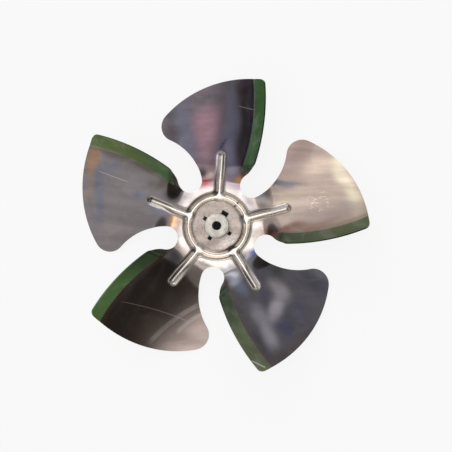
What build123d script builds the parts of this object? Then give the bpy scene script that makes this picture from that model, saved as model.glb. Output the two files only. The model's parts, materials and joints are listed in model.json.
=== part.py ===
from build123d import *
import os
from math import cos, hypot, radians, sin, sqrt, tan

# Axial fan impeller: one sheet-metal pressing with five cambered blades, and the turned
# hub bush that is swaged into its keyed centre hole.
# Origin: on the shaft axis, half-way through the sheet at the hub.
# +Z: along the shaft, towards the concave faces of the blades and the front boss.
# Every blade is described once, with its stiffening rib along +X, in (u, s):
# u runs outwards along the rib, s runs clockwise across the blade (seen from +Z).

# ---------------------------------------------------------------- driving sizes (mm, deg)
fan_d = 230.0            # swept diameter
blade_count = 5
first_rib_angle = 90.0   # direction of the first blade's rib
sheet_t = 1.2            # sheet thickness

# Blade outline
notch_circle_r = 40.5    # radius on which the notches between the blades are centred
notch_r = 9.1            # radius of each notch
notch_lead = 34.3        # angle from a rib to the notch ahead of it (counter-clockwise)
heel_r = 15.0            # convex heel between notch and trailing edge
heel_angle = 29.7        # direction of the heel centre seen from its notch
trailing_r = 156.0       # trailing edge
corner_r = 4.8           # outer corner of the trailing edge
corner_lag = 13.9        # angle from the rib back to that corner
tip_r = 79.5             # tip edge
lobe_r = 12.0            # rounded leading lobe
lobe_centre_r = 86.0     # radius of the lobe centre
lobe_lead = 26.0         # angle from the rib forward to the lobe centre
leading_r = 47.5         # hollow leading edge

# Blade form
pitch = 27.0             # slope of the blade at its rib
camber_r = 220.0         # camber radius across the blade
flap_w = 9.0             # width of the steep flap along the trailing edge
flap_angle = 48.0        # slope of that flap
bend_r = 5.0             # bend radius of the flap
neck_r = 33.0            # flat hub out to the bend lines (apothem)
neck_len = 15.0          # length over which the neck twists up to the full pitch

# Ring channel and stiffening ribs, one connected groove pressed to the back
ring_r = 22.6            # centre line of the ring channel
rib_end_r = 57.0         # outer end of the ribs
groove_r = 2.7           # half-width of the groove, and the radius of the ribs' hollow
channel_floor = 1.8      # width of the ring channel's flat floor
channel_depth = 2.9      # depth of the ring channel below the front of the sheet
rib_taper = 4.0          # length of the ribs' pointed ends

# Keyed centre hole and hub bush
hole_r = 8.0             # centre hole in the sheet
key_out_r = 12.4         # how far the drive slots reach out
key_w = 3.0              # width of the three narrow slots
wide_key_w = 5.4         # width of the fourth slot
wide_key_out_r = 12.9
key_angle = 61.8         # direction of the wide slot
boss_r = 9.3             # front boss
boss_h = 6.5             # its height over the sheet
collar_r = 9.6           # swaged collar behind the sheet
collar_h = 2.4
neck_gap = 0.03          # radial gap between bush and hole
bore_r = 3.25            # shaft bore
boss_chamfer = 0.5
bore_chamfer = 0.4
collar_bevel = 1.0

# Working margins of the blanks before they are trimmed
trim = 6.0               # how far a blade blank reaches past the outline
overlap = 2.0            # how far a rib blank reaches past the rib

# ---------------------------------------------------------------- derived sizes
fan_r = fan_d / 2
half_t = sheet_t / 2
step = 360.0 / blade_count
ridge_r = groove_r + sheet_t
wall_slope = (groove_r - channel_floor / 2) / channel_depth
wall_shift = sheet_t * hypot(1.0, wall_slope)


def polar(radius, angle):
    return Vector(radius * cos(radians(angle)), radius * sin(radians(angle)))


def tangent_centre(c1, d1, c2, d2, side):
    """Point at distance d1 from c1 and d2 from c2, left (+1) or right (-1) of c1-c2."""
    gap = c2 - c1
    along = (gap.length**2 + d1**2 - d2**2) / (2 * gap.length)
    across = sqrt(d1**2 - along**2)
    e = gap.normalized()
    return c1 + e * along + Vector(-e.Y, e.X) * (side * across)


def touch(centre, radius, towards):
    """Point of a circle that lies in the direction of another point."""
    return centre + (towards - centre).normalized() * radius


def arc(centre, start, end):
    """Minor arc about a centre."""
    middle = touch(centre, (start - centre).length, (start + end) / 2)
    return ThreePointArc(start, middle, end)


# ---------------------------------------------------------------- outline of one blade
# Eight arcs, each tangent to the next, from the notch behind the blade to the one ahead.
notch_behind = polar(notch_circle_r, notch_lead - step)
notch_ahead = polar(notch_circle_r, notch_lead)
heel = notch_behind + polar(notch_r + heel_r, heel_angle)
corner = polar(fan_r - corner_r, -corner_lag)
lobe = polar(lobe_centre_r, lobe_lead)
trailing = tangent_centre(heel, trailing_r - heel_r, corner, trailing_r - corner_r, 1)
tip = tangent_centre(corner, tip_r - corner_r, lobe, tip_r - lobe_r, 1)
leading = tangent_centre(lobe, leading_r + lobe_r, notch_ahead, leading_r - notch_r, -1)

notch_floor_behind = touch(notch_behind, notch_r, Vector(0, 0))
notch_floor_ahead = touch(notch_ahead, notch_r, Vector(0, 0))
heel_start = touch(notch_behind, notch_r, heel)
heel_end = touch(trailing, trailing_r, heel)
corner_start = touch(trailing, trailing_r, corner)
corner_end = touch(tip, tip_r, corner)
lobe_start = touch(tip, tip_r, lobe)
lobe_end = touch(lobe, lobe_r, leading)
notch_start = touch(leading, leading_r, notch_ahead)


def blade_outline():
    """Closed outline of one fifth of the pressing, with its corner at the axis."""
    with BuildLine() as wire:
        arc(notch_behind, notch_floor_behind, heel_start)
        arc(heel, heel_start, heel_end)
        arc(trailing, heel_end, corner_start)
        arc(corner, corner_start, corner_end)
        arc(tip, corner_end, lobe_start)
        arc(lobe, lobe_start, lobe_end)
        arc(leading, lobe_end, notch_start)
        arc(notch_ahead, notch_start, notch_floor_ahead)
        Polyline(notch_floor_ahead, Vector(0, 0), notch_floor_behind)
    return wire.line


# ---------------------------------------------------------------- form of the blade
pitch_sine = sin(radians(pitch))
flap_sine = sin(radians(flap_angle))


def twist(u):
    """0 in the flat hub, 1 where the neck has reached the full pitch."""
    f = min(max((u - neck_r) / neck_len, 0.0), 1.0)
    return f * f * (3 - 2 * f)


def fold_line(u):
    """s of the start of the flap's bend: concentric with the trailing edge."""
    reach = trailing_r - flap_w
    return sqrt(reach**2 - (u - trailing.X) ** 2) - trailing.Y


def height(u, s):
    """Height and slope of the sheet's middle surface: camber, bend and flap in turn."""
    fold = fold_line(u)
    s1 = min(s, fold)
    sine = pitch_sine + s1 / camber_r
    z = camber_r * (sqrt(1 - pitch_sine**2) - sqrt(1 - sine**2))
    if s > fold:
        bend_end = fold + bend_r * (flap_sine - sine)
        s2 = min(s, bend_end)
        bend_sine = sine + (s2 - fold) / bend_r
        z += bend_r * (sqrt(1 - sine**2) - sqrt(1 - bend_sine**2))
        sine = bend_sine
        z += max(s - bend_end, 0.0) * tan(radians(flap_angle))
    w = twist(u)
    return w * z, w * sine / sqrt(1 - sine**2)


def offset_point(u, s, level):
    """Point of a section at a distance from the middle surface, measured square to it."""
    z, slope = height(u, s)
    n = hypot(1.0, slope)
    return (-(s - level * slope / n), z + level / n)


def section_edge(u, level, lobe_side, flap_side):
    """One face of the sheet in the section at u: camber, bend, flap."""
    fold = fold_line(u)
    sine = pitch_sine + fold / camber_r
    bend_end = fold + bend_r * (flap_sine - sine)
    spans = ((-lobe_side, fold, 6), (fold, bend_end, 3), (bend_end, flap_side, 2))
    for start, limit, count in spans:
        end = min(limit, flap_side)
        if end <= start:
            continue
        points = [
            offset_point(u, start + (end - start) * i / (count - 1), level)
            for i in range(count)
        ]
        if count == 2:
            Line(points[0], points[1])
        else:
            slopes = [height(u, s)[1] for s in (start, end)]
            Spline(points, tangents=[(-1.0, m) for m in slopes])


def sheet_section(u, front, back, lobe_side, flap_side):
    """Closed section of a layer of the sheet, square to the rib, at the distance u."""
    with BuildSketch(Plane.YZ.offset(u)) as sketch:
        with BuildLine():
            section_edge(u, front, lobe_side, flap_side)
            section_edge(u, back, lobe_side, flap_side)
            for s in (-lobe_side, flap_side):
                Line(offset_point(u, s, front), offset_point(u, s, back))
        make_face()
    return sketch.sketch


blank_lobe = lobe.Y + lobe_r + trim
blank_flap = trailing_r - trailing.Y + trim
blank_end = fan_r + trim
neck_end = neck_r + neck_len


def stations(start, end, count):
    return [start + (end - start) * i / (count - 1) for i in range(count)]


with BuildPart() as blade:
    # Twisted neck, then the cambered blade, lofted along the rib and trimmed to the outline.
    for row in (stations(neck_r, neck_end, 7), stations(neck_end, blank_end, 4)):
        loft([sheet_section(u, half_t, -half_t, blank_lobe, blank_flap) for u in row])
    with BuildSketch(Plane.XY.offset(-fan_r / 2)):
        make_face(blade_outline().edges())
    extrude(amount=fan_r, mode=Mode.INTERSECT)

def rib_bar(radius, end):
    """Round bar along the rib with a tapered outer end."""
    shoulder = rib_end_r - rib_taper
    with BuildPart() as bar:
        with BuildSketch(Plane.XZ):
            with BuildLine():
                Polyline((ring_r, 0), (ring_r, radius), (shoulder, radius), (end, 0), close=True)
            make_face()
        revolve(axis=Axis.X)
    return bar.part


rib_half = ridge_r + overlap

with BuildPart() as rib_back:
    # Back of one rib: what of a bar lies behind the front third of the sheet.
    for row in (
        (ring_r - overlap, neck_r),
        stations(neck_r, neck_end, 7),
        (neck_end, rib_end_r + 2 * overlap),
    ):
        loft([sheet_section(u, half_t / 3, -2 * ridge_r, rib_half, rib_half) for u in row])
    add(rib_bar(ridge_r, rib_end_r + sheet_t), mode=Mode.INTERSECT)

with BuildSketch() as outline_face:
    make_face(blade_outline().edges())
outline = outline_face.sketch

def channel(top, bottom, shift):
    """Section of the ring channel between two heights: sloping walls and a flat floor."""
    with BuildSketch(Plane.XZ) as section:
        with BuildLine():
            corners = []
            for z, side in ((top, -1), (top, 1), (bottom, 1), (bottom, -1)):
                half_width = groove_r - (half_t - z) * wall_slope + shift
                corners.append((ring_r + side * half_width, z))
            Polyline(*corners, close=True)
        make_face()
    return section.sketch


with BuildPart() as blade_sheet:
    # Flat hub: the bend lines of the necks make it a polygon, opened by the notches.
    with BuildSketch(Plane.XY.offset(-half_t)):
        with PolarLocations(0, blade_count, start_angle=first_rib_angle):
            add(outline)
        RegularPolygon(
            neck_r,
            blade_count,
            major_radius=False,
            rotation=first_rib_angle + step / 2,
            mode=Mode.INTERSECT,
        )
    extrude(amount=sheet_t)
    with PolarLocations(0, blade_count, start_angle=first_rib_angle):
        add(blade.part)
    # Back of the ring channel and of the ribs.
    revolve(channel(0.0, half_t - channel_depth - sheet_t, wall_shift), axis=Axis.Z)
    with PolarLocations(0, blade_count, start_angle=first_rib_angle):
        add(rib_back.part)
    # Front of the ring channel and of the ribs.
    revolve(channel(half_t + sheet_t, half_t - channel_depth, 0.0), axis=Axis.Z, mode=Mode.SUBTRACT)
    with PolarLocations(0, blade_count, start_angle=first_rib_angle):
        add(rib_bar(groove_r, rib_end_r), mode=Mode.SUBTRACT)
    # Keyed centre hole: three narrow drive slots and a wide one.
    with BuildSketch(Plane.XY.offset(-sheet_t)):
        Circle(hole_r)
        with PolarLocations(0, 4, start_angle=key_angle):
            Rectangle(key_out_r, key_w, align=(Align.MIN, Align.CENTER))
        with PolarLocations(0, 1, start_angle=key_angle):
            Rectangle(wide_key_out_r, wide_key_w, align=(Align.MIN, Align.CENTER))
    extrude(amount=2 * sheet_t, mode=Mode.SUBTRACT)

with BuildPart() as hub_bush:
    # Boss, neck and swaged collar as one turned profile.
    with BuildSketch(Plane.XZ) as profile:
        with BuildLine():
            Polyline(
                (bore_r, -half_t - collar_h),
                (collar_r, -half_t - collar_h),
                (collar_r, -half_t),
                (hole_r - neck_gap, -half_t),
                (hole_r - neck_gap, half_t),
                (boss_r, half_t),
                (boss_r, half_t + boss_h),
                (bore_r, half_t + boss_h),
                close=True,
            )
        make_face()
        chamfer(profile.vertices().group_by(Axis.X)[-1].sort_by(Axis.Y)[0], collar_bevel)
        chamfer(profile.vertices().group_by(Axis.Y)[-1].sort_by(Axis.X)[-1], boss_chamfer)
        chamfer(profile.vertices().group_by(Axis.X)[0], bore_chamfer)
    revolve(axis=Axis.Z)

blade_sheet.part.label = "blade_sheet"
hub_bush.part.label = "hub_bush"

os.makedirs("parts", exist_ok=True)
export_step(blade_sheet.part, "parts/blade_sheet.step")
export_step(hub_bush.part, "parts/hub_bush.step")
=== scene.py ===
import json
import math

import bmesh
import bpy
import numpy as np
from mathutils import Matrix, Vector
from mathutils.geometry import delaunay_2d_cdt

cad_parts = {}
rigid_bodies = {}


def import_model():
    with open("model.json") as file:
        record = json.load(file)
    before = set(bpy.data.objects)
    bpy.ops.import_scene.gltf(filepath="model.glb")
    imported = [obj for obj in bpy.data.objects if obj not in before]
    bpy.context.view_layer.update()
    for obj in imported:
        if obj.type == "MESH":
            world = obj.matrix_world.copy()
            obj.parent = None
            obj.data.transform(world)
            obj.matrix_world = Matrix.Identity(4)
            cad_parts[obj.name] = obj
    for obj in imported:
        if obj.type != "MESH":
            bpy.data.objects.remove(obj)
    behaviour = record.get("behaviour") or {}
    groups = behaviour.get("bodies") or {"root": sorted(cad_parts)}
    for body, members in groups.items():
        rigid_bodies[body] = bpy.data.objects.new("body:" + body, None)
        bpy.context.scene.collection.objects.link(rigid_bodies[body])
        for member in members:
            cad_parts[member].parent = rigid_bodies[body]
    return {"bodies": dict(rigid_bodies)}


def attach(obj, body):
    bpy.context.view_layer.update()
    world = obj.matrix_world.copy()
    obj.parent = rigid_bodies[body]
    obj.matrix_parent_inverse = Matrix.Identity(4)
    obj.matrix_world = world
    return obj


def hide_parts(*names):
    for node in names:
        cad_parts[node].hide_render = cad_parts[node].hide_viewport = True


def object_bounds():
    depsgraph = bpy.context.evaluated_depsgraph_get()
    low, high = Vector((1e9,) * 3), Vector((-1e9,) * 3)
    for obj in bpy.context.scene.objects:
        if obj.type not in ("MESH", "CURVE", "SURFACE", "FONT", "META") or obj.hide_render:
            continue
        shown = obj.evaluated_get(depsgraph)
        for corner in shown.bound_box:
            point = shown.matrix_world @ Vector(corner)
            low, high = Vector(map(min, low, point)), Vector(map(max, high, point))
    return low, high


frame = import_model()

bl_info = {
    "name": "Axial Fan Impeller",
    "version": (1, 0, 0),
    "blender": (4, 5, 0),
    "location": "View3D > Sidebar > Impeller",
    "description": "Pressed aluminium impeller with a turned hub bush",
    "category": "Add Mesh",
}

MM = 0.001
CAD_BOX = [list(corner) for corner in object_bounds()]
BODY = list(frame["bodies"])[0]


# ------------------------------------------------------------------ sizes and colours
def srgb(*levels):
    """Linear colour of three display levels from 0 to 255."""
    return tuple(((v / 255 + 0.055) / 1.055) ** 2.4 if v > 10 else v / 3294 for v in levels)


def size(default, text):
    """A length that a user may change."""
    return bpy.props.FloatProperty(
        name=text, description=text + ", in millimetres", default=default)


def angle(default, text):
    """An angle that a user may change."""
    return bpy.props.FloatProperty(
        name=text, description=text + ", in degrees", default=default)


def colour(default, text):
    """A linear colour that a user may change."""
    return bpy.props.FloatVectorProperty(
        name=text, description=text, default=default, size=3, min=0.0, max=1.0, subtype="COLOR")


class BladeSizes(bpy.types.PropertyGroup):
    """Outline and form of one blade."""
    count: bpy.props.IntProperty(name="Blades", description="Number of blades", default=5, min=2)
    first_rib: angle(90.0, "Direction of the first rib")
    fan_r: size(115.0, "Swept radius")
    notch_circle_r: size(40.5, "Radius of the notch centres")
    notch_r: size(9.1, "Notch radius")
    notch_lead: angle(34.3, "Angle from a rib to the notch ahead")
    heel_r: size(15.0, "Heel radius")
    heel_angle: angle(29.7, "Direction of the heel centre from its notch")
    trailing_r: size(156.0, "Trailing edge radius")
    corner_r: size(4.8, "Outer corner radius")
    corner_lag: angle(13.9, "Angle from the rib back to the corner")
    tip_r: size(79.5, "Tip edge radius")
    lobe_r: size(12.0, "Lobe radius")
    lobe_centre_r: size(86.0, "Radius of the lobe centre")
    lobe_lead: angle(26.0, "Angle from the rib to the lobe centre")
    leading_r: size(47.5, "Leading edge radius")
    pitch: angle(27.0, "Pitch at the rib")
    camber_r: size(220.0, "Camber radius")
    flap_w: size(9.0, "Flap width")
    flap_angle: angle(48.0, "Flap slope")
    bend_r: size(6.0, "Bend radius of the flap")
    neck_r: size(33.0, "Radius of the flat hub")
    neck_len: size(15.0, "Length of the twisted neck")


class SheetSizes(bpy.types.PropertyGroup):
    """Sheet thickness, pressed grooves and the keyed hole."""
    thickness: size(1.2, "Sheet thickness")
    ring_r: size(22.6, "Centre line of the ring channel")
    rib_end_r: size(57.0, "Outer end of the ribs")
    groove_depth: size(3.3, "Depth of the grooves")
    groove_half: size(2.75, "Half width of the grooves")
    blend: size(3.0, "Rounding where a rib leaves the ring")
    disc_r: size(17.0, "Radius of the plain centre disc")
    hole_r: size(8.0, "Centre hole radius")
    key_out_r: size(12.4, "Reach of the narrow slots")
    key_w: size(3.0, "Width of the narrow slots")
    wide_out_r: size(12.9, "Reach of the wide slot")
    wide_w: size(5.4, "Width of the wide slot")
    key_angle: angle(61.8, "Direction of the wide slot")
    fine: size(0.62, "Mesh spacing in the grooves")
    coarse: size(1.7, "Mesh spacing on the blades")


class BushSizes(bpy.types.PropertyGroup):
    """The turned hub bush."""
    bore_r: size(3.25, "Bore radius")
    boss_r: size(9.3, "Boss radius")
    boss_h: size(6.5, "Boss height over the sheet")
    neck_r: size(7.97, "Neck radius")
    collar_r: size(9.6, "Swaged collar radius")
    collar_h: size(2.4, "Swaged collar height")
    chamfer: size(0.5, "Boss chamfer")
    bore_chamfer: size(0.4, "Bore chamfer")


class FinishColours(bpy.types.PropertyGroup):
    """Colours of the metals and the floor, the grooves' painted highlight and painted shade, and
    the direction of the grain.
    """
    matt: colour(srgb(216, 202, 192), "Matt hub disc")
    # bright is a painted highlight on the ring channel and the ribs.
    bright: colour(srgb(236, 228, 220), "Burnished ring and ribs")
    hub: colour(srgb(184, 174, 168), "Flat hub between the ring and the blades")
    back: colour(srgb(172, 168, 166), "Plain sheet on the rear side")
    zinc: colour(srgb(204, 200, 189), "Zinc-plated steel")
    shade: colour(srgb(58, 54, 50), "Shaded groove walls")
    floor: colour((0.9, 0.9, 0.9), "Floor")
    grain: angle(-12.0, "Direction of the rolled grain")


# Painted reflections on each blade, counter-clockwise from the first: the plain sheet, the flap
# at its heel and at its outer end, the crease, then soft patches as (u, t, half length, half
# width, turn, colour, strength) in millimetres and degrees.
BLADE_REFLECTION_TONES = (
    ((142, 127, 134), (66, 94, 60), (62, 92, 54), (62, 58, 62), (
        (76, 42, 26, 8, 0, (104, 99, 104), 0.8),
        (76, 30, 30, 8, 10, (132, 134, 152), 0.8),
        (74, 13, 24, 10, 5, (196, 156, 168), 0.95),
        (103, 4, 9, 26, 12, (134, 126, 132), 0.8),
        (80, -7, 26, 6, 0, (158, 158, 180), 0.9),
        (60, 1, 9, 4, -25, (130, 132, 152), 0.8),
        (54, -7, 13, 5, 0, (184, 180, 206), 0.9),
        (80, -17, 42, 4.2, 0, (86, 82, 84), 0.95),
        (106, -14, 7, 5, 0, (92, 66, 74), 0.6),
        (79, -22, 42, 1.5, 0, (84, 84, 112), 0.7),
        (64, -2, 6, 1, -35, (70, 70, 80), 0.8),
        (44, 8, 9, 3, 0, (150, 124, 126), 0.7),
        (41, 13, 6, 3, 20, (56, 58, 56), 0.8),
        (32, 10, 4, 5, 0, (158, 72, 70), 0.9),
        (38, -14, 3, 3, 0, (200, 148, 92), 0.9))),
    ((150, 142, 142), (84, 106, 72), (98, 112, 68), (112, 106, 92), (
        (107, -14, 5, 13, 10, (190, 150, 118), 0.85),
        (104, 8, 3, 16, -18, (166, 146, 136), 0.6),
        (93, -14, 12, 4, 55, (132, 135, 150), 0.6),
        (95, 10, 4, 26, 14, (128, 132, 152), 0.7),
        (66, -2, 6, 3, 40, (122, 128, 150), 0.6),
        (48, 6, 10, 4, 0, (132, 134, 150), 0.6),
        (70, -22, 34, 3.5, 0, (114, 104, 94), 0.8),
        (50, -15, 10, 5, 20, (106, 97, 88), 0.8),
        (41, -9, 6, 5, 0, (84, 80, 70), 0.8),
        (76, 31, 12, 6, 30, (166, 152, 150), 0.6),
        (32, 8, 4, 5, 0, (208, 168, 122), 0.9),
        (26, 13, 3, 3, 0, (96, 74, 60), 0.8))),
    ((122, 111, 104), (70, 84, 62), (112, 150, 90), (176, 154, 124), (
        (45, -12, 16, 14, 0, (92, 90, 88), 0.7),
        (62, -21, 34, 2.4, 4, (158, 156, 160), 0.7),
        (70, -9, 34, 2.0, 8, (146, 136, 132), 0.5),
        (92, 8, 20, 7, -6, (148, 132, 118), 0.6),
        (88, 43, 44, 25, -12, (232, 210, 198), 0.97),
        (76, 39, 18, 5, 8, (232, 210, 198), 0.7),
        (40, -27, 16, 5, 14, (48, 60, 44), 0.9))),
    ((132, 129, 131), (76, 90, 70), (112, 120, 92), (146, 128, 116), (
        (66, 14, 10, 6, -10, (226, 218, 218), 0.8),
        (78, 3, 10, 5, -40, (250, 242, 242), 0.85),
        (76, -9, 12, 5, 12, (214, 210, 212), 0.8),
        (92, -12, 11, 5, -14, (226, 220, 222), 0.85),
        (92, 3, 8, 6, 0, (118, 116, 142), 0.8),
        (89, 18, 9, 6, 0, (124, 122, 142), 0.6),
        (66, 2, 6, 5, 0, (118, 116, 134), 0.6),
        (80, -22, 30, 3, 0, (112, 106, 108), 0.7),
        (111, 0, 5, 26, 0, (138, 122, 116), 0.8),
        (50, 19, 12, 6, 0, (98, 98, 96), 0.8),
        (78, 40, 20, 9, 20, (98, 98, 106), 0.9),
        (46, -10, 9, 5, 0, (176, 182, 198), 0.9),
        (31, 11, 3, 4, 0, (34, 56, 118), 0.9))),
    ((170, 155, 148), (74, 84, 64), (90, 98, 72), (140, 116, 104), (
        (74, 38, 22, 13, 30, (138, 120, 118), 0.9),
        (104, 8, 6, 28, 6, (222, 213, 192), 0.8),
        (88, 24, 14, 8, 30, (188, 172, 158), 0.6),
        (91, 3, 14, 6, 0, (172, 156, 146), 0.8),
        (90, -14, 20, 5, 0, (158, 144, 142), 0.8),
        (67, -19, 26, 3, 0, (146, 122, 112), 0.8),
        (52, -16, 12, 3, 0, (122, 88, 84), 0.9),
        (39, -13, 4, 3, 0, (132, 76, 70), 0.8),
        (39, 10, 5, 3.5, 0, (255, 250, 236), 0.95),
        (60, 8, 16, 4, 10, (178, 166, 150), 0.6),
        (54, 21, 18, 2.5, -24, (104, 104, 120), 0.9))),
)
# Reflections on the flat hub, in the same form about the shaft, with u along +X.
HUB_TONES = (
    (13, 32, 5, 4, 20, (150, 146, 146), 0.8),
    (17, 28, 2, 4, 0, (244, 240, 236), 0.9),
    (25, 21, 5, 4, -40, (108, 112, 132), 0.9),
    (30, 16, 3, 4, 0, (152, 156, 172), 0.8),
    (31, 4, 5, 3, 60, (214, 208, 190), 0.9),
    (33, -4, 1.4, 5, -30, (244, 240, 214), 0.9),
    (28, -13, 3, 6, 30, (226, 220, 206), 0.8),
    (22, -23, 4, 4, 0, (70, 68, 66), 0.9),
    (4, -30, 5, 3, 0, (214, 206, 190), 0.9),
    (9, -33, 2, 6, 20, (246, 242, 232), 0.9),
    (-2, -28, 6, 1.2, -10, (232, 226, 208), 0.8),
    (-8, -30, 7, 1.5, -20, (84, 80, 72), 0.9),
    (-27, -14, 3, 4, 30, (236, 228, 214), 0.9),
    (-29, -21, 5, 2, -20, (240, 232, 230), 0.9),
    (-25, -26, 5, 3, -30, (96, 88, 86), 0.8),
    (-30, 2, 3, 6, 0, (150, 116, 92), 0.8),
    (-27, 17, 5, 3, -20, (226, 214, 212), 0.8),
    (-18, 28, 3, 2.5, 40, (246, 240, 240), 0.9),
    (-30, 24, 5, 2.5, -40, (66, 62, 58), 0.9),
    (-11, 29, 6, 3, 30, (198, 178, 176), 0.7),
)
# Light and shade on the matt centre disc, in the same form.
DISC_TONES = (
    (9, 10, 8, 6, 45, (228, 216, 206), 0.7),
    (11, -10, 9, 5, 45, (250, 238, 230), 0.8),
    (-12, 2, 5, 9, 0, (194, 178, 170), 0.7),
    (-5, -14, 8, 4, 15, (160, 145, 138), 0.85),
)


# ------------------------------------------------------------------ blade geometry (mm)
EDGE_SPACING = 1.1
ARC_SHARE = 0.16  # longest step along an arc, as a share of its radius
ARC_STEPS = 3  # fewest steps along an arc
GROOVE_SQUARENESS = 3.2  # how flat the floor of a groove is, and how steep its walls
SLOPE_STEP = 0.05


def polar(radius, degrees):
    """Plan point at a radius and a direction."""
    a = math.radians(degrees)
    return np.array([radius * math.cos(a), radius * math.sin(a)])


def tangent_centre(c1, d1, c2, d2, side):
    """Point at distance d1 from c1 and d2 from c2, on one side of the line between them."""
    gap = c2 - c1
    length = np.hypot(*gap)
    along = (length**2 + d1**2 - d2**2) / (2 * length)
    across = math.sqrt(d1**2 - along**2)
    e = gap / length
    return c1 + e * along + np.array([-e[1], e[0]]) * side * across


def touch(centre, radius, towards):
    """Point of a circle on the line from its centre towards a place."""
    way = towards - centre
    return centre + way / np.hypot(*way) * radius


class BladeForm:
    """Outline and middle surface of the blade whose rib lies along +X."""

    def __init__(self, b, s):
        self.b, self.s = b, s
        step = 360.0 / b.count
        behind = polar(b.notch_circle_r, b.notch_lead - step)
        ahead = polar(b.notch_circle_r, b.notch_lead)
        heel = behind + polar(b.notch_r + b.heel_r, b.heel_angle)
        corner = polar(b.fan_r - b.corner_r, -b.corner_lag)
        lobe = polar(b.lobe_centre_r, b.lobe_lead)
        self.trailing = tangent_centre(
            heel, b.trailing_r - b.heel_r, corner, b.trailing_r - b.corner_r, 1)
        tip = tangent_centre(corner, b.tip_r - b.corner_r, lobe, b.tip_r - b.lobe_r, 1)
        leading = tangent_centre(lobe, b.leading_r + b.lobe_r, ahead, b.leading_r - b.notch_r, -1)
        origin = np.zeros(2)
        stops = [
            touch(behind, b.notch_r, origin), touch(behind, b.notch_r, heel),
            touch(self.trailing, b.trailing_r, heel), touch(self.trailing, b.trailing_r, corner),
            touch(tip, b.tip_r, corner), touch(tip, b.tip_r, lobe),
            touch(lobe, b.lobe_r, leading), touch(leading, b.leading_r, ahead),
            touch(ahead, b.notch_r, origin)]
        centres = [behind, heel, self.trailing, corner, tip, lobe, leading, ahead]
        self.arcs = list(zip(centres, stops[:-1], stops[1:]))

    def outline(self, spacing):
        """Edge points from the notch behind to the notch ahead."""
        points = []
        for centre, start, end in self.arcs:
            a0 = math.atan2(*(start - centre)[::-1])
            turn = (math.atan2(*(end - centre)[::-1]) - a0 + math.pi) % (2 * math.pi) - math.pi
            radius = np.hypot(*(start - centre))
            n = max(ARC_STEPS, round(abs(turn) * radius / min(spacing, radius * ARC_SHARE)))
            for i in range(n):
                a = a0 + turn * i / n
                points.append(centre + radius * np.array([math.cos(a), math.sin(a)]))
        points.append(self.arcs[-1][2])
        return np.array(points)

    def fold(self, u):
        """How far behind the rib the flap's fold runs, at a distance u along the rib."""
        reach = self.b.trailing_r - self.b.flap_w
        return np.sqrt(reach**2 - (u - self.trailing[0]) ** 2) - self.trailing[1]

    def height(self, u, s):
        """Height of the middle surface: camber, bend and flap, eased out in the neck."""
        b = self.b
        pitch_sine = math.sin(math.radians(b.pitch))
        flap_sine = math.sin(math.radians(b.flap_angle))
        fold = self.fold(u)
        s1 = np.minimum(s, fold)
        sine = pitch_sine + s1 / b.camber_r
        z = b.camber_r * (math.sqrt(1 - pitch_sine**2) - np.sqrt(1 - sine**2))
        bend_end = fold + b.bend_r * (flap_sine - sine)
        s2 = np.minimum(s, bend_end)
        bent = sine + np.maximum(s2 - fold, 0) / b.bend_r
        z = z + b.bend_r * (np.sqrt(1 - sine**2) - np.sqrt(1 - bent**2))
        z = z + np.maximum(s - np.maximum(bend_end, fold), 0) * math.tan(math.radians(b.flap_angle))
        f = np.clip((u - b.neck_r) / b.neck_len, 0, 1)
        return f * f * (3 - 2 * f) * z

    def slopes(self, u, s):
        """Slope of the middle surface along and across the rib."""
        d = SLOPE_STEP
        return ((self.height(u + d, s) - self.height(u - d, s)) / (2 * d),
                (self.height(u, s + d) - self.height(u, s - d)) / (2 * d))

    def groove(self, u, s, slope):
        """Depth of the pressed groove: ring channel and rib joined by a soft fillet."""
        g = self.s
        ring = np.abs(np.hypot(u, s) - g.ring_r)
        end = g.rib_end_r - g.groove_half
        over = np.maximum(u - end, 0) + np.maximum(g.ring_r - u, 0)
        rib = np.hypot(s * np.sqrt(1 + slope**2), over)
        h = np.clip(0.5 + 0.5 * (ring - rib) / g.blend, 0, 1)
        near = ring * (1 - h) + rib * h - g.blend * h * (1 - h)
        wide = np.maximum(near, 0) / g.groove_half
        return g.groove_depth * np.exp(-(wide ** GROOVE_SQUARENESS))

    def surface(self, points):
        """Lifts plan points (u, t) onto the pressed middle surface."""
        u, s = points[:, 0], -points[:, 1]
        z = self.height(u, s)
        zu, zs = self.slopes(u, s)
        depth = self.groove(u, s, zs)
        normal = np.stack([-zu, zs, np.ones_like(u)], axis=1)
        normal /= np.linalg.norm(normal, axis=1)[:, None]
        return np.stack([u, -s, z], axis=1) - normal * depth[:, None]


def inside(points, loop):
    """Even-odd test of points against a closed loop."""
    x, y = points[:, 0], points[:, 1]
    found = np.zeros(len(points), bool)
    for (x1, y1), (x2, y2) in zip(loop, np.roll(loop, -1, axis=0)):
        if y1 != y2:
            cross = ((y1 > y) != (y2 > y)) & (x < (x2 - x1) * (y - y1) / (y2 - y1) + x1)
            found ^= cross
    return found


# ------------------------------------------------------------------ meshing (mm)
SNAP = 1e-5  # points nearer than this are one point
ROW = 0.866  # distance between rows of a lattice, as a share of its spacing
GROOVE_ROWS = 8  # rows of points on either side of a groove's centre line
GROOVE_GAP = 0.75  # least gap in the grooves, as a share of their spacing
RIB_SPACING = 0.8
RING_POINTS = 36  # points round the ring channel in one sector
FOLD_ROWS = (-0.5, 0.0, 0.55, 1.1, 1.7)  # distances past the fold
FOLD_START, FOLD_SPACING, FOLD_GAP = 36.0, 1.0, 0.45
NECK_SPAN, NECK_SPACING, NECK_GAP = (30, 54), 1.15, 0.9
BLADE_GAP = 0.72  # least gap on the blades, as a share of their spacing
DISC_SPACING, DISC_GAP = 1.2, 0.8
SLOT_CORNER_R, SLOT_CORNER_STEPS, HOLE_STEPS = 0.45, 4, 12


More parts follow.
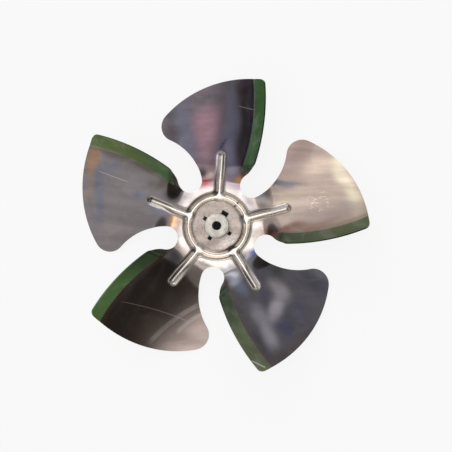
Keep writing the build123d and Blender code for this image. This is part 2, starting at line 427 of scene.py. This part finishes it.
class Scatter:
    """Plan points kept apart from each other."""

    def __init__(self, fixed, cell=1.0):
        self.cell, self.points, self.grid = cell, [], {}
        for p in fixed:
            self.put(p)

    def put(self, p):
        key = (int(p[0] // self.cell), int(p[1] // self.cell))
        self.grid.setdefault(key, []).append((p[0], p[1]))
        self.points.append((float(p[0]), float(p[1])))

    def add(self, candidates, gap):
        reach = int(gap // self.cell) + 1
        for p in candidates:
            kx, ky = int(p[0] // self.cell), int(p[1] // self.cell)
            clear = all(
                (q[0] - p[0]) ** 2 + (q[1] - p[1]) ** 2 >= gap * gap
                for i in range(kx - reach, kx + reach + 1)
                for j in range(ky - reach, ky + reach + 1)
                for q in self.grid.get((i, j), ()))
            if clear:
                self.put(p)


def triangulate(loops, scatter):
    """Triangles of the area between closed loops, through the scattered points."""
    points = [Vector(p) for p in scatter.points]
    faces, start = [], 0
    for loop in loops:
        faces.append(list(range(start, start + len(loop))))
        start += len(loop)
    edges = [(f[i], f[(i + 1) % len(f)]) for f in faces for i in range(len(f))]
    verts, _, tris = delaunay_2d_cdt(points, edges, [], 0, SNAP)[:3]
    flat = np.array([[v.x, v.y] for v in verts])
    centres = np.array([flat[list(t)].mean(axis=0) for t in tris])
    keep = inside(centres, np.array(loops[0]))
    for loop in loops[1:]:
        keep &= ~inside(centres, np.array(loop))
    return flat, [t for t, k in zip(tris, keep) if k]


def hex_lattice(lo, hi, spacing):
    """Rows of plan points between two corners, every second row shifted."""
    rows = []
    for j in range(int((hi[1] - lo[1]) / (spacing * ROW)) + 1):
        n = int((hi[0] - lo[0]) / spacing) + 1
        x = lo[0] + spacing * (np.arange(n) + 0.5 * (j % 2))
        rows.append(np.stack([x, np.full(n, lo[1] + j * spacing * ROW)], axis=1))
    return np.concatenate(rows)


def sector_mesh(form):
    """Points and triangles of one sector of the pressing outside the centre disc."""
    b, g = form.b, form.s
    step = 360.0 / b.count
    arc_n = round(math.radians(step) * g.disc_r / g.fine)
    start = b.notch_lead - step
    floor_r = b.notch_circle_r - b.notch_r
    line_n = round((floor_r - g.disc_r) / g.fine)
    radii = [g.disc_r + (floor_r - g.disc_r) * i / line_n for i in range(line_n + 1)]
    loop = [polar(r, start) for r in radii[:-1]]
    loop += list(form.outline(EDGE_SPACING))
    loop += [polar(r, b.notch_lead) for r in radii[-2::-1]]
    loop += [polar(g.disc_r, b.notch_lead - step * i / arc_n) for i in range(1, arc_n)]
    loop = np.array(loop)
    lo, hi = loop.min(axis=0), loop.max(axis=0)

    rows = [i * g.fine for i in range(-GROOVE_ROWS, GROOVE_ROWS + 1)]
    along = np.arange(g.ring_r + 2, g.rib_end_r + 3, RIB_SPACING)
    turns = [start + step * (i + 0.5) / RING_POINTS for i in range(RING_POINTS)]
    reach = b.trailing_r - b.flap_w
    folds = []
    for row in FOLD_ROWS:
        for u in np.arange(FOLD_START, b.fan_r, FOLD_SPACING):
            s = math.sqrt((reach + row) ** 2 - (u - form.trailing[0]) ** 2) - form.trailing[1]
            folds.append((u, -s))
    layers = (
        ([(u, row) for row in rows for u in along], g.fine * GROOVE_GAP),
        ([polar(g.ring_r + row, a) for row in rows for a in turns], g.fine * GROOVE_GAP),
        (folds, FOLD_GAP),
        (hex_lattice((NECK_SPAN[0], lo[1]), (NECK_SPAN[1], hi[1]), NECK_SPACING), NECK_GAP),
        (hex_lattice(lo, hi, g.coarse), g.coarse * BLADE_GAP))
    scatter = Scatter(loop)
    for points, gap in layers:
        points = np.asarray(points)
        scatter.add(points[inside(points, loop)], gap)
    flat, tris = triangulate([loop], scatter)
    return form.surface(flat), tris


def disc_mesh(form):
    """Points and triangles of the plain centre disc with its keyed hole."""
    b, g = form.b, form.s
    count = b.count * round(math.radians(360.0 / b.count) * g.disc_r / g.fine)
    turn = b.first_rib + b.notch_lead
    rim = [polar(g.disc_r, turn + 360.0 * i / count) for i in range(count)]
    slots = [(g.key_angle, g.wide_w, g.wide_out_r)]
    slots += [(g.key_angle + 90.0 * i, g.key_w, g.key_out_r) for i in (1, 2, 3)]
    hole = []
    for (direction, width, reach), (_, next_width, _) in zip(slots, slots[1:] + slots[:1]):
        half = width / 2
        a = math.radians(direction)
        e = np.array([math.cos(a), math.sin(a)])
        n = np.array([-math.sin(a), math.cos(a)])
        inner = math.sqrt(g.hole_r**2 - half**2)
        r = SLOT_CORNER_R
        hole.append(e * inner - n * half)
        for side, first in ((-1, -90), (1, 0)):
            centre = e * (reach - r) + n * side * (half - r)
            for k in range(SLOT_CORNER_STEPS + 1):
                q = math.radians(first + 90 * k / SLOT_CORNER_STEPS)
                hole.append(centre + e * r * math.cos(q) + n * r * math.sin(q))
        hole.append(e * inner + n * half)
        end = direction + math.degrees(math.asin(half / g.hole_r))
        stop = direction + 90.0 - math.degrees(math.asin(next_width / 2 / g.hole_r))
        hole += [polar(g.hole_r, end + (stop - end) * k / HOLE_STEPS) for k in range(1, HOLE_STEPS)]
    scatter = Scatter(rim + hole)
    lattice = hex_lattice((-g.disc_r, -g.disc_r), (g.disc_r, g.disc_r), DISC_SPACING)
    lattice = lattice[inside(lattice, np.array(rim)) & ~inside(lattice, np.array(hole))]
    scatter.add(lattice, DISC_GAP)
    flat, tris = triangulate([rim, hole], scatter)
    return np.column_stack([flat, np.zeros(len(flat))]), tris


# ------------------------------------------------------------------ sheet tones: painted light (mm)
DISC_EDGE = (4.2, 3.0)  # limits of the disc's soft edge, inward of the ring's centre line
HUB_EDGE = (28.0, 35.0)  # radii between which the hub's tone gives way to a blade's
# Painted reflection along the crease just inside each fold: place, half width and strength.
CREASE_AT, CREASE_HALF, CREASE_STRENGTH = -0.7, 1.2, 0.6
# Painted shade along one wall of each rib (place, half width, strength), and the direction that the
# groove walls near the ring with painted shade face.
WALL_AT, WALL_HALF, WALL_STRENGTH = -1.7, 0.9, 0.75
DARK_WALLS = 315  # direction that the dark groove walls face


def ease(x, lo, hi):
    """Smooth step from 0 at lo to 1 at hi."""
    f = np.clip((x - lo) / (hi - lo), 0, 1)
    return f * f * (3 - 2 * f)


def on_disc(radius, g):
    """1 on the matt centre disc, 0 from the ring channel outwards."""
    return 1 - ease(radius, g.ring_r - DISC_EDGE[0], g.ring_r - DISC_EDGE[1])


def lay(under, over, share):
    """One colour laid over another."""
    return under + (np.array(over) - under) * np.reshape(share, (-1, 1))


def patched(plain, patches, u, t):
    """A plain colour with soft-edged patches laid over it in turn."""
    tone = np.tile(np.array(plain), (len(u), 1))
    for pu, pt, ru, rt, turn, tint, strength in patches:
        q = math.radians(turn)
        du = ((u - pu) * math.cos(q) + (t - pt) * math.sin(q)) / ru
        dt = ((t - pt) * math.cos(q) - (u - pu) * math.sin(q)) / rt
        tone = lay(tone, srgb(*tint), strength * np.exp(-(du**2 + dt**2) ** 1.5))
    return tone


def blade_reflection_tone(u, t, form, tones):
    """Painted reflections of one blade: its sheet and patches, then the crease, then the flap."""
    plain, heel, outer, crease, patches = tones
    # A slow ripple keeps the patches from being plain ovals.
    along = u + 1.6 * np.sin(t / 5.3 + u / 9.0)
    across = t + 1.2 * np.sin(u / 6.1 - t / 11.0)
    blade = patched(srgb(*plain), patches, along, across)
    past_fold = -t - form.fold(np.clip(u, 0, form.b.fan_r))
    on_blade = ease(u, 40.0, 45.0)
    # Painted reflection along the crease just inside the fold.
    line = np.exp(-((past_fold - CREASE_AT) / CREASE_HALF) ** 2)
    blade = lay(blade, srgb(*crease), CREASE_STRENGTH * line * on_blade)
    # Painted reflection on the flap, going from its heel tone to its outer tone.
    flap = lay(np.tile(srgb(*heel), (len(u), 1)), srgb(*outer), ease(u, 48.0, 92.0))
    return lay(blade, flap, ease(past_fold, 0.2, 1.4) * on_blade)


def sheet_tones(points, form, finish):
    """Colour of the sheet at points given in millimetres: hub, blades, grooves and disc, with
    painted reflections on hub and blades, painted highlight in the grooves and painted shade.
    """
    b, g = form.b, form.s
    x, y = points[:, 0], points[:, 1]
    step = 360.0 / b.count
    radius = np.hypot(x, y)
    # Painted reflections on the flat hub.
    tone = patched(finish.hub, HUB_TONES, x, y)
    # Where the ring channel and the ribs run; they get the painted highlight below.
    pressed = np.exp(-(np.abs(radius - g.ring_r) / (g.groove_half + 0.6)) ** 4)
    shaded = np.zeros(len(points))
    for k, tones in enumerate(BLADE_REFLECTION_TONES):
        a = math.radians(b.first_rib + step * k)
        u, t = x * math.cos(a) + y * math.sin(a), y * math.cos(a) - x * math.sin(a)
        lag = (b.notch_lead - np.degrees(np.arctan2(t, u))) % 360.0
        blade = blade_reflection_tone(u, t, form, tones)
        tone = lay(tone, blade, ease(radius, *HUB_EDGE) * (lag < step))
        past = np.maximum(u - g.rib_end_r + g.groove_half, 0) + np.maximum(g.ring_r - u, 0)
        rib = np.hypot(t, past)
        pressed = np.maximum(pressed, np.exp(-(rib / (g.groove_half + 0.4)) ** 4))
        # Painted shade along one wall of each rib.
        wall = np.exp(-((t - WALL_AT) / WALL_HALF) ** 2)
        wall *= ease(u, g.ring_r + 2, g.ring_r + 5) * (1 - ease(u, g.rib_end_r - 2, g.rib_end_r))
        shaded = np.maximum(shaded, wall)
    # Painted highlight in the grooves, painted shade on the rib walls, then the disc's painted
    # light and shade.
    tone = lay(tone, finish.bright, pressed)
    tone = lay(tone, finish.shade, WALL_STRENGTH * shaded)
    return lay(tone, patched(finish.matt, DISC_TONES, x, y), on_disc(radius, g))


def colour_sheet(mesh, form, finish):
    """Writes the sheet's tones (painted reflections, highlight and shade), disc, groove walls
    with painted shade and front side as attributes.
    """
    count = len(mesh.vertices)
    points, normals = np.empty(count * 3), np.empty(count * 3)
    mesh.vertices.foreach_get("co", points)
    mesh.vertices.foreach_get("normal", normals)
    points, normals = points.reshape(-1, 3) / MM, normals.reshape(-1, 3)
    radius = np.hypot(points[:, 0], points[:, 1])
    # Groove walls near the ring that face DARK_WALLS get painted shade.
    facing = normals[:, :2] @ polar(1.0, DARK_WALLS)
    steep = ease(facing, 0.4, 0.7) * (radius < form.s.ring_r + 4) * (normals[:, 2] > 0)
    front = ease(normals[:, 2], -0.2, 0.0)
    tones = lay(sheet_tones(points, form, finish), finish.back, 1 - front)
    masks = {"disc": on_disc(radius, form.s), "steep": steep, "front": front}
    for key, values in masks.items():
        layer = mesh.attributes.new(key, "FLOAT", "POINT")
        layer.data.foreach_set("value", values.astype(np.float32))
    layer = mesh.attributes.new("tone", "FLOAT_COLOR", "POINT")
    tones = np.column_stack([tones, np.ones(count)])
    layer.data.foreach_set("color", tones.astype(np.float32).ravel())


# ------------------------------------------------------------------ object helpers
def plain_mesh(name, points, faces):
    """Mesh of points given in millimetres."""
    mesh = bpy.data.meshes.new(name)
    mesh.from_pydata([tuple(p) for p in np.asarray(points) * MM], [], [tuple(f) for f in faces])
    mesh.update()
    return mesh


def show(name, data):
    """Puts a mesh, a lamp or a camera into the scene as an object."""
    obj = bpy.data.objects.new(name, data)
    bpy.context.scene.collection.objects.link(obj)
    return obj


def bake(obj):
    """Turns an object with live modifiers into a plain mesh."""
    depsgraph = bpy.context.evaluated_depsgraph_get()
    mesh = bpy.data.meshes.new_from_object(obj.evaluated_get(depsgraph))
    mesh.name = obj.name
    obj.modifiers.clear()
    obj.data = mesh
    return obj


def smooth(mesh, degrees):
    """Smooth shading, with edges sharper than an angle kept."""
    for poly in mesh.polygons:
        poly.use_smooth = True
    mesh.set_sharp_from_angle(angle=math.radians(degrees))


# ------------------------------------------------------------------ nodes
class Nodes:
    """Small helper for building a node tree."""

    def __init__(self, tree):
        self.tree = tree

    def node(self, kind, **inputs):
        """New node with its inputs fed; a space in an input's name is written as _."""
        n = self.tree.nodes.new(kind)
        for key, value in inputs.items():
            self.feed(n.inputs[key.replace("_", " ")], value)
        return n

    def feed(self, socket, value):
        if isinstance(value, bpy.types.NodeSocket):
            self.tree.links.new(value, socket)
        else:
            socket.default_value = value

    def math(self, operation, a, b=0.0, c=0.0):
        n = self.node("ShaderNodeMath")
        n.operation = operation
        for i, value in enumerate((a, b, c)):
            self.feed(n.inputs[i], value)
        return n.outputs[0]

    def times(self, a, b):
        return self.math("MULTIPLY", a, b)

    def vector(self, operation, a, b=(0, 0, 0)):
        """Vector maths; a dot product or a length comes out as a number."""
        n = self.node("ShaderNodeVectorMath")
        n.operation = operation
        self.feed(n.inputs[0], a)
        self.feed(n.inputs[1], b)
        return n.outputs["Value"]

    def range(self, value, lo, hi, to_lo=0.0, to_hi=1.0):
        """Smooth step from to_lo at lo to to_hi at hi."""
        n = self.node(
            "ShaderNodeMapRange", Value=value, From_Min=lo, From_Max=hi, To_Min=to_lo, To_Max=to_hi)
        n.interpolation_type = "SMOOTHSTEP"
        return n.outputs["Result"]

    def mix(self, factor, a, b):
        """Colour b laid over colour a."""
        n = self.node("ShaderNodeMix")
        n.data_type = "RGBA"
        for socket, value in ((n.inputs[0], factor), (n.inputs[6], a), (n.inputs[7], b)):
            if isinstance(value, tuple) or type(value).__name__ == "Color":
                value = (*value[:3], 1.0)
            self.feed(socket, value)
        return n.outputs[2]


class Shading(Nodes):
    """Nodes of a material or a world, round its first shader."""

    def __init__(self, owner, shader="Principled BSDF", coords="Object"):
        owner.use_nodes = True
        super().__init__(owner.node_tree)
        self.owner, self.shader = owner, self.tree.nodes[shader]
        self.coords = self.node("ShaderNodeTexCoord").outputs[coords]

    def surface(self, **inputs):
        """Feeds the shader."""
        for key, value in inputs.items():
            self.feed(self.shader.inputs[key.replace("_", " ")], value)

    def attribute(self, name, output="Fac"):
        n = self.node("ShaderNodeAttribute")
        n.attribute_name = name
        return n.outputs[output]

    def mapped(self, turn=0.0, scale=(1, 1, 1), shift=(0, 0, 0)):
        """Coordinates scaled, turned about Z and shifted."""
        return self.node(
            "ShaderNodeMapping", Vector=self.coords, Rotation=(0, 0, math.radians(turn)),
            Scale=scale, Location=shift).outputs[0]

    def radius(self, x=0.0, y=0.0):
        """Distance in plan from a place, or from the shaft's axis, in metres."""
        return self.vector("LENGTH", self.mapped(scale=(1, 1, 0), shift=(-x, -y, 0)))

    def noise(self, vector, scale=1.0, detail=3.0, roughness=0.5, distortion=0.0):
        return self.node(
            "ShaderNodeTexNoise", Vector=vector, Scale=scale, Detail=detail,
            Roughness=roughness, Distortion=distortion).outputs[0]

    def bump(self, height, strength, distance, **normal):
        n = self.node(
            "ShaderNodeBump", Height=height, Strength=strength, Distance=distance, **normal)
        return n.outputs[0]


def repeat_tree(material):
    """Geometry Nodes that turn one sector round the axis, and the names of their two values."""
    tree = bpy.data.node_groups.new("Repeat round axis", "GeometryNodeTree")
    face = tree.interface
    face.new_socket("Geometry", in_out="INPUT", socket_type="NodeSocketGeometry")
    number = face.new_socket("Blades", in_out="INPUT", socket_type="NodeSocketInt")
    turn = face.new_socket("First rib", in_out="INPUT", socket_type="NodeSocketFloat")
    face.new_socket("Geometry", in_out="OUTPUT", socket_type="NodeSocketGeometry")
    n = Nodes(tree)
    given = n.node("NodeGroupInput").outputs
    points = n.node("GeometryNodePoints", Count=given["Blades"]).outputs[0]
    step = n.math("DIVIDE", 2 * math.pi, given["Blades"])
    index = n.node("GeometryNodeInputIndex").outputs[0]
    spin = n.math("MULTIPLY_ADD", index, step, given["First rib"])
    turned = n.node("ShaderNodeCombineXYZ", Z=spin).outputs[0]
    placed = n.node(
        "GeometryNodeInstanceOnPoints", Points=points, Instance=given["Geometry"], Rotation=turned)
    real = n.node("GeometryNodeRealizeInstances", Geometry=placed.outputs[0])
    paint = n.node("GeometryNodeSetMaterial", Geometry=real.outputs[0], Material=material)
    n.feed(n.node("NodeGroupOutput").inputs[0], paint.outputs[0])
    return tree, number.identifier, turn.identifier


# ------------------------------------------------------------------ materials
# Tints of the sheet's marks, and of its painted highlight bands.
BLACK = (0.0, 0.0, 0.0)
SPECK = (0.1, 0.08, 0.07)
DRAW_MARK = srgb(150, 128, 96)
CLOUD = (0.8, 0.78, 0.78)
FLECK = srgb(246, 240, 232)
PAINTED_HIGHLIGHT = srgb(252, 240, 232)
SCRATCH = srgb(240, 232, 228)
# Middle of the rubbed area with light flecks on one blade, and radius of the draw marks, in metres.
RUBBED = (0.0767, 0.0228)
DRAWN_RING = 0.0222
TURNING = 26000.0  # radians per metre of the bush's tool marks
# Fine scratches: start and end in millimetres about the shaft, half width, strength and,
# where a scratch is bowed, its bow.
SCRATCHES = (
    ((-95.0, 37.6), (-69.2, 29.6), 0.16, 0.35),
    ((-72.1, -61.4), (-17.0, -75.6), 0.2, 0.75, 1.8),
    ((10.8, 92.4), (24.4, 88.6), 0.22, 0.5),
    ((32.4, -99.0), (43.9, -104.5), 0.22, 0.5),
)
# Painted highlight bands where a lobe turns up: start, end, half width, strength, bow.
HIGHLIGHT_STROKES = (
    ((-50.0, -95.5), (-9.0, -60.0), 1.1, 0.4, 3.0),
    ((-28.5, -85.5), (-7.0, -67.2), 0.9, 0.4, 1.6),
)


def stroke(n, start, end, half_width, strength, bow=0.0):
    """Mask of a fine mark between two places given in millimetres, bowed to its left."""
    place = n.node("ShaderNodeSeparateXYZ", Vector=n.mapped(scale=(1 / MM, 1 / MM, 0))).outputs
    length = math.dist(start, end)
    dx, dy = (end[0] - start[0]) / length, (end[1] - start[1]) / length
    x = n.math("SUBTRACT", place[0], start[0])
    y = n.math("SUBTRACT", place[1], start[1])
    along = n.math("ADD", n.times(x, dx), n.times(y, dy))
    across = n.math("SUBTRACT", n.times(y, dx), n.times(x, dy))
    rise = n.times(n.times(along, n.math("SUBTRACT", length, along)), 4 * bow / length**2)
    across = n.math("ABSOLUTE", n.math("SUBTRACT", across, rise))
    body = n.range(across, half_width, half_width * 2.2, strength, 0.0)
    first = n.range(along, 0.0, length * 0.15)
    last = n.range(along, length * 0.85, length, 1.0, 0.0)
    return n.times(body, n.times(first, last))


def aluminium_sheet(c):
    """Rolled aluminium: the tones of the sheet (painted reflections, highlight and shade), dulled,
    speckled and marked, with painted shade on groove walls and painted highlight bands on a lobe.
    """
    n = Shading(bpy.data.materials.new("Rolled aluminium"))
    disc, steep, front = n.attribute("disc"), n.attribute("steep"), n.attribute("front")
    grain = n.noise(n.mapped(c.grain, (14, 900, 900)), detail=2.0)
    haze = n.noise(n.mapped(c.grain, (12, 90, 90)), roughness=0.55)
    cloud = n.noise(n.coords, 70.0)
    speck = n.noise(n.coords, 850.0)
    shaft = n.radius()
    marks = n.noise(n.node("ShaderNodeCombineXYZ", X=shaft).outputs[0], 2600.0, 2.0)
    off_ring = n.math("ABSOLUTE", n.math("SUBTRACT", shaft, DRAWN_RING))
    near_ring = n.range(off_ring, 0.003, 0.0055, 1.0, 0.0)
    cloudy = n.noise(n.coords, 55.0, 4.0, 0.55, 1.2)
    fleck = n.noise(n.mapped(-35, (260, 700, 0)), detail=5.0, roughness=0.65)
    rubbed = n.times(front, n.range(n.radius(*RUBBED), 0.004, 0.0115, 1.0, 0.0))
    layers = [
        (n.range(haze, 0.3, 0.7, 0.0, 0.22), BLACK),
        (n.times(disc, n.range(speck, 0.4, 0.7, 0.0, 0.3)), SPECK),
        # Painted shade on the groove walls near the ring that face one way.
        (n.times(steep, 0.5), c.shade),
        (n.times(near_ring, n.range(marks, 0.46, 0.62, 0.0, 0.5)), DRAW_MARK),
        (n.range(cloudy, 0.5, 0.68, 0.0, 0.05), CLOUD),
        (n.times(rubbed, n.range(fleck, 0.5, 0.7, 0.0, 0.5)), FLECK)]
    # Painted highlight bands on one lobe, on the front only.
    layers += [(n.times(front, stroke(n, *band)), PAINTED_HIGHLIGHT) for band in HIGHLIGHT_STROKES]
    layers += [(n.times(front, stroke(n, *scratch)), SCRATCH) for scratch in SCRATCHES]
    tone = n.attribute("tone", "Color")
    for factor, tint in layers:
        tone = n.mix(factor, tone, tint)
    rough = n.range(haze, 0.25, 0.75, 0.2, 0.3)
    fine = n.bump(grain, 0.015, 0.0002)
    n.surface(
        Base_Color=tone, Metallic=1.0, Roughness=n.math("MULTIPLY_ADD", disc, 0.25, rough),
        Normal=n.bump(cloud, 0.04, 0.001, Normal=fine))
    return n.owner


def zinc_steel(c):
    """Turned steel with a zinc plating and concentric tool marks."""
    n = Shading(bpy.data.materials.new("Zinc-plated steel"))
    rings = n.math("SINE", n.times(n.radius(), TURNING))
    cloud = n.noise(n.coords, 260.0, 4.0)
    dull = tuple(v * 0.8 for v in c.zinc)
    n.surface(
        Base_Color=n.mix(n.range(cloud, 0.35, 0.7, 0.0, 0.6), c.zinc, dull), Metallic=1.0,
        Roughness=n.range(cloud, 0.3, 0.7, 0.28, 0.4), Normal=n.bump(rings, 0.3, 0.00003))
    return n.owner


# ------------------------------------------------------------------ operators
WELD = 0.00004  # metres within which the sectors' and the disc's edges are joined
BUSH_SIDES = 144


class IMPELLER_OT_pressing(bpy.types.Operator):
    """Make the pressed sheet: disc, ring channel, ribs and blades"""
    bl_idname = "impeller.pressing"
    bl_label = "Pressed sheet"

    def execute(self, context):
        scene = context.scene
        b, s = scene.impeller_blades, scene.impeller_sheet
        form = BladeForm(b, s)
        material = aluminium_sheet(scene.impeller_finish)
        sector = show("one_sector", plain_mesh("one_sector", *sector_mesh(form)))
        modifier = sector.modifiers.new("Repeat", "NODES")
        modifier.node_group, count_id, turn_id = repeat_tree(material)
        modifier[count_id] = b.count
        modifier[turn_id] = math.radians(b.first_rib)
        bake(sector)
        centre = plain_mesh("centre_disc", *disc_mesh(form))
        bm = bmesh.new()
        bm.from_mesh(sector.data)
        bm.from_mesh(centre)
        bmesh.ops.remove_doubles(bm, verts=bm.verts, dist=WELD)
        bmesh.ops.recalc_face_normals(bm, faces=bm.faces)
        if sum(f.normal.z for f in bm.faces) < 0:
            bmesh.ops.reverse_faces(bm, faces=bm.faces)
        mesh = bpy.data.meshes.new("pressed_sheet")
        bm.to_mesh(mesh)
        bm.free()
        mesh.materials.append(material)
        bpy.data.objects.remove(sector)
        piece = show("pressed_sheet", mesh)
        wall = piece.modifiers.new("Thickness", "SOLIDIFY")
        wall.thickness = s.thickness * MM
        wall.offset = 0.0
        bake(piece)
        smooth(piece.data, 50)
        colour_sheet(piece.data, form, scene.impeller_finish)
        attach(piece, BODY)
        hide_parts("blade_sheet")
        return {"FINISHED"}


class IMPELLER_OT_bush(bpy.types.Operator):
    """Make the turned hub bush"""
    bl_idname = "impeller.bush"
    bl_label = "Hub bush"

    def execute(self, context):
        scene = context.scene
        b, s = scene.impeller_bush, scene.impeller_sheet
        half = s.thickness / 2
        top, low = half + b.boss_h, -half - b.collar_h
        chamfer, bore_out = b.chamfer, b.bore_r + b.bore_chamfer
        profile = [
            (b.bore_r, low + b.bore_chamfer), (bore_out, low),
            (b.collar_r - 1.2, low), (b.collar_r - 0.6, low + 0.16),
            (b.collar_r - 0.16, low + 0.6), (b.collar_r, low + 1.2), (b.collar_r, -half),
            (b.neck_r, -half), (b.neck_r, half),
            (b.boss_r, half), (b.boss_r, top - chamfer),
            (b.boss_r - chamfer * 0.3, top - chamfer * 0.3), (b.boss_r - chamfer, top),
            (bore_out, top), (b.bore_r, top - b.bore_chamfer)]
        n = len(profile)
        points, faces = [], []
        for i in range(BUSH_SIDES):
            a = 2 * math.pi * i / BUSH_SIDES
            points += [(r * math.cos(a), r * math.sin(a), z) for r, z in profile]
            j = (i + 1) % BUSH_SIDES
            for k in range(n):
                m = (k + 1) % n
                faces.append((i * n + k, j * n + k, j * n + m, i * n + m))
        mesh = plain_mesh("turned_bush", points, faces)
        mesh.materials.append(zinc_steel(scene.impeller_finish))
        smooth(mesh, 30)
        piece = show("turned_bush", mesh)
        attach(piece, BODY)
        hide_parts("hub_bush")
        return {"FINISHED"}


# ------------------------------------------------------------------ stage
FLOOR_GAP = 0.0002  # metres between the floor and the lowest point
FLOOR_HALF = 4
FLOOR_GLOW = 0.86
# Floor colour under the hub: a painted shadow.
PAINTED_HUB_SHADOW = (0.05, 0.05, 0.05)
# Lamps: name, azimuth, elevation, distance, width, power, colour.
LAMPS = (
    ("Overhead", 150, 85, 1.6, 0.6, 1.9, (1, 1, 1)),
    ("Warm side", 108, 42, 1.5, 0.8, 1.6, (1.0, 0.97, 0.92)),
)
STUDIO_PLAIN = (0.72, 0.72, 0.74)
# Sides of the studio: azimuth, elevation, cosines of the angles from there at which a side
# starts and is full, colour.
STUDIO_SIDES = (
    (180, 8, 0.86, 0.93, (0.14, 0.14, 0.15)),
    (36, 10, 0.45, 0.80, (0.34, 0.34, 0.38)),
    (324, 0, 0.52, 0.64, (0.085, 0.075, 0.07)),
    (108, 40, 0.70, 0.95, (0.86, 0.84, 0.80)),
)
# The camera: distance in metres, lean from the axis, direction of the lean and of the
# picture's top in degrees, width seen at the sheet in metres, shift in pixels.
CAMERA_DISTANCE, CAMERA_LEAN, CAMERA_AZIMUTH, CAMERA_TOP = 0.869, 4.7, -29.6, 93.2
CAMERA_VIEW, CAMERA_SHIFT = 0.347, (8.75, 0.05)
SENSOR, PICTURE = 36.0, 452


def direction(azimuth, elevation):
    """Unit vector towards an azimuth and an elevation in degrees."""
    a, e = math.radians(azimuth), math.radians(elevation)
    return Vector((math.cos(a) * math.cos(e), math.sin(a) * math.cos(e), math.sin(e)))


def softbox(name, azimuth, elevation, distance, width, power, tint):
    """Round lamp that points at the hub."""
    data = bpy.data.lights.new(name, "AREA")
    data.shape, data.size, data.energy, data.color = "DISK", width, power, tint
    obj = show(name, data)
    way = direction(azimuth, elevation)
    obj.location = way * distance
    obj.rotation_euler = way.to_track_quat("Z", "Y").to_euler()


def pale_floor(finish):
    """Matt floor that stays pale to the camera and carries a painted shadow under the hub."""
    n = Shading(bpy.data.materials.new("Pale floor"))
    radius = n.radius()
    # Painted shadow under the hub.
    tone = n.mix(n.range(radius, 0.011, 0.024), PAINTED_HUB_SHADOW, finish.floor)
    n.surface(Base_Color=tone, Roughness=0.9, Specular_IOR_Level=0.1)
    glow = n.node("ShaderNodeEmission", Color=(1, 1, 1, 1))
    path = n.node("ShaderNodeLightPath").outputs
    seen = n.math("MAXIMUM", path["Is Glossy Ray"], path["Is Transmission Ray"])
    seen = n.math("MAXIMUM", path["Is Camera Ray"], seen)
    # No glow near the centre, so the painted shadow shows.
    open_floor = n.times(seen, n.range(radius, 0.013, 0.027))
    blend = n.node("ShaderNodeMixShader", Fac=n.times(open_floor, FLOOR_GLOW))
    n.feed(blend.inputs[1], n.shader.outputs[0])
    n.feed(blend.inputs[2], glow.outputs[0])
    n.feed(n.tree.nodes["Material Output"].inputs["Surface"], blend.outputs[0])
    return n.owner


def studio_world():
    """Plain soft room, dimmer on three sides and brighter on one."""
    n = Shading(bpy.data.worlds.new("Studio"), "Background", "Generated")
    tone = STUDIO_PLAIN
    for azimuth, elevation, lo, hi, tint in STUDIO_SIDES:
        near = n.vector("DOT_PRODUCT", n.coords, direction(azimuth, elevation))
        tone = n.mix(n.range(near, lo, hi), tone, tint)
    n.surface(Color=tone)
    return n.owner


class IMPELLER_OT_stage(bpy.types.Operator):
    """Make the floor, the lamps and the camera"""
    bl_idname = "impeller.stage"
    bl_label = "Stage"

    def execute(self, context):
        scene = context.scene
        level = CAD_BOX[0][2] - FLOOR_GAP
        h = FLOOR_HALF
        corners = [(-h, -h, level), (h, -h, level), (h, h, level), (-h, h, level)]
        mesh = bpy.data.meshes.new("floor")
        mesh.from_pydata(corners, [], [(0, 1, 2, 3)])
        mesh.materials.append(pale_floor(scene.impeller_finish))
        show("floor", mesh)
        scene.world = studio_world()
        for lamp in LAMPS:
            softbox(*lamp)

        data = bpy.data.cameras.new("camera")
        camera = show("camera", data)
        lean, azimuth = math.radians(CAMERA_LEAN), math.radians(CAMERA_AZIMUTH)
        top = math.radians(CAMERA_TOP)
        back = direction(CAMERA_AZIMUTH, 90 - CAMERA_LEAN)
        axis = Vector((-math.sin(azimuth), math.cos(azimuth), 0))
        upward = Matrix.Rotation(lean, 3, axis) @ Vector((math.cos(top), math.sin(top), 0))
        facing = Matrix((upward.cross(back), upward, back)).transposed().to_4x4()
        camera.matrix_world = Matrix.Translation(back * CAMERA_DISTANCE) @ facing
        data.sensor_width = SENSOR
        data.lens = SENSOR * CAMERA_DISTANCE / CAMERA_VIEW
        data.shift_x, data.shift_y = (pixels / PICTURE for pixels in CAMERA_SHIFT)
        data.clip_start, data.clip_end = 0.01, 20
        scene.camera = camera
        scene.view_settings.view_transform = "Standard"
        return {"FINISHED"}


class IMPELLER_PT_panel(bpy.types.Panel):
    """Sizes and colours of the impeller"""
    bl_label = "Axial fan impeller"
    bl_idname = "IMPELLER_PT_panel"
    bl_space_type = "VIEW_3D"
    bl_region_type = "UI"
    bl_category = "Impeller"

    def draw(self, context):
        for operator in OPERATORS:
            self.layout.operator(operator.bl_idname)
        for name in GROUPS:
            box = self.layout.box()
            group = getattr(context.scene, name)
            for key in group.bl_rna.properties.keys():
                if key not in ("rna_type", "name"):
                    box.prop(group, key)


GROUPS = {
    "impeller_blades": BladeSizes,
    "impeller_sheet": SheetSizes,
    "impeller_bush": BushSizes,
    "impeller_finish": FinishColours,
}
OPERATORS = (IMPELLER_OT_pressing, IMPELLER_OT_bush, IMPELLER_OT_stage)
CLASSES = (*GROUPS.values(), *OPERATORS, IMPELLER_PT_panel)


def register():
    for cls in CLASSES:
        bpy.utils.register_class(cls)
    for name, cls in GROUPS.items():
        setattr(bpy.types.Scene, name, bpy.props.PointerProperty(type=cls))


def unregister():
    for name in GROUPS:
        delattr(bpy.types.Scene, name)
    for cls in reversed(CLASSES):
        bpy.utils.unregister_class(cls)


def main():
    register()
    bpy.ops.impeller.stage()
    bpy.ops.impeller.pressing()
    bpy.ops.impeller.bush()


if __name__ == "__main__":
    main()
